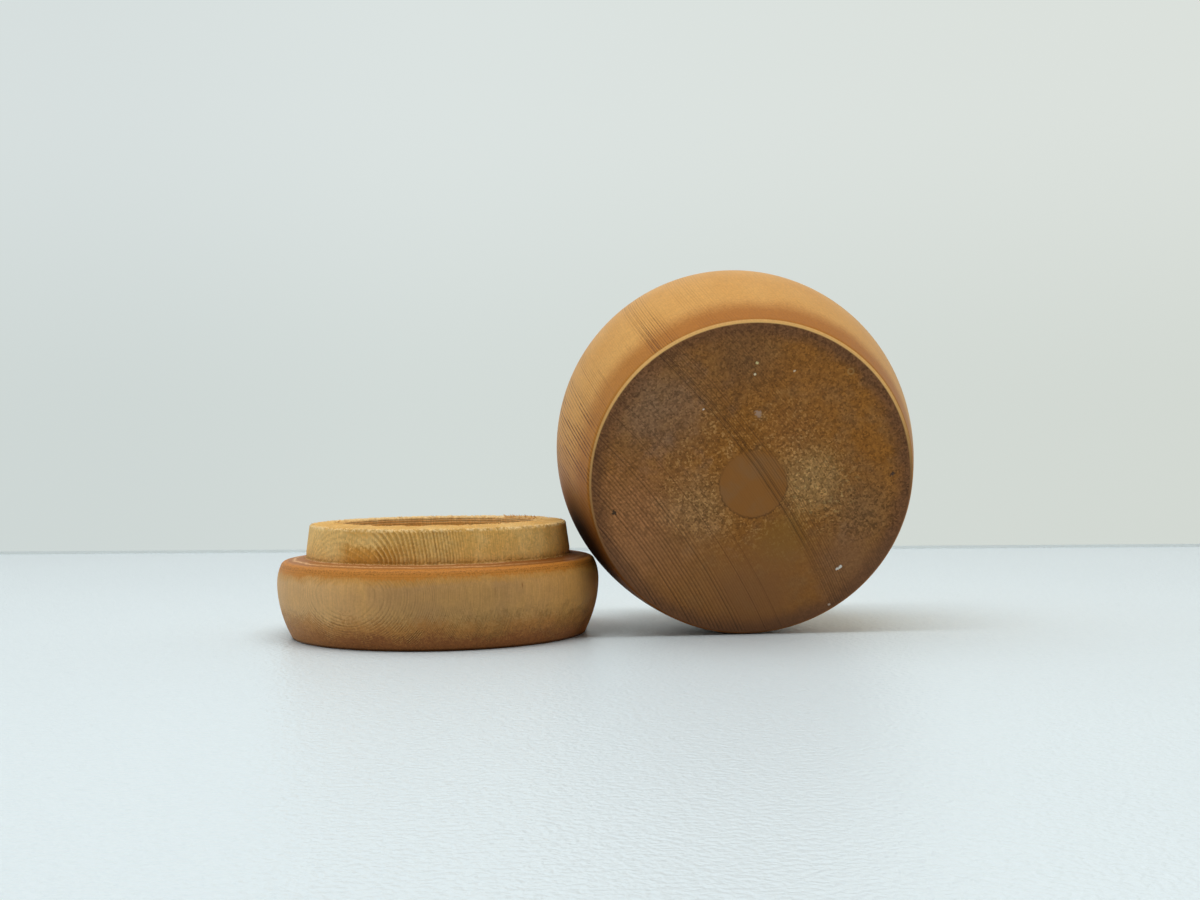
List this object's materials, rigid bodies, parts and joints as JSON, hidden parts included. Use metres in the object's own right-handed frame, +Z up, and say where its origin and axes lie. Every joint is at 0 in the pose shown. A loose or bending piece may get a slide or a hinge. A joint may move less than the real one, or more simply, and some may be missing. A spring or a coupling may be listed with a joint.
{
  "type": "turned wooden box",
  "caption": "Round-bellied turned wooden jar lying on its side, with its hollow plug lid set upside down beside it; holds small things.",
  "frame": {"origin": "on the table, under the middle of the two pieces' common box", "axes": "+Z up, +Y from the jar's base towards its mouth along the table, +X from the lid towards the jar"},
  "size_m": [0.1613, 0.0808, 0.0916],
  "materials": {
    "jar_wood": "satin",
    "lid_wood": "satin"
  },
  "bodies": {
    "jar": {"jar": "jar_wood"},
    "lid": {"lid": "lid_wood"}
  },
  "joints": [
    {"name": "lid_lift", "type": "slide", "parent": "jar", "child": "lid", "axis": [-0.7071, 0, 0.7071], "range_m": [0, 0.11]}
  ]
}
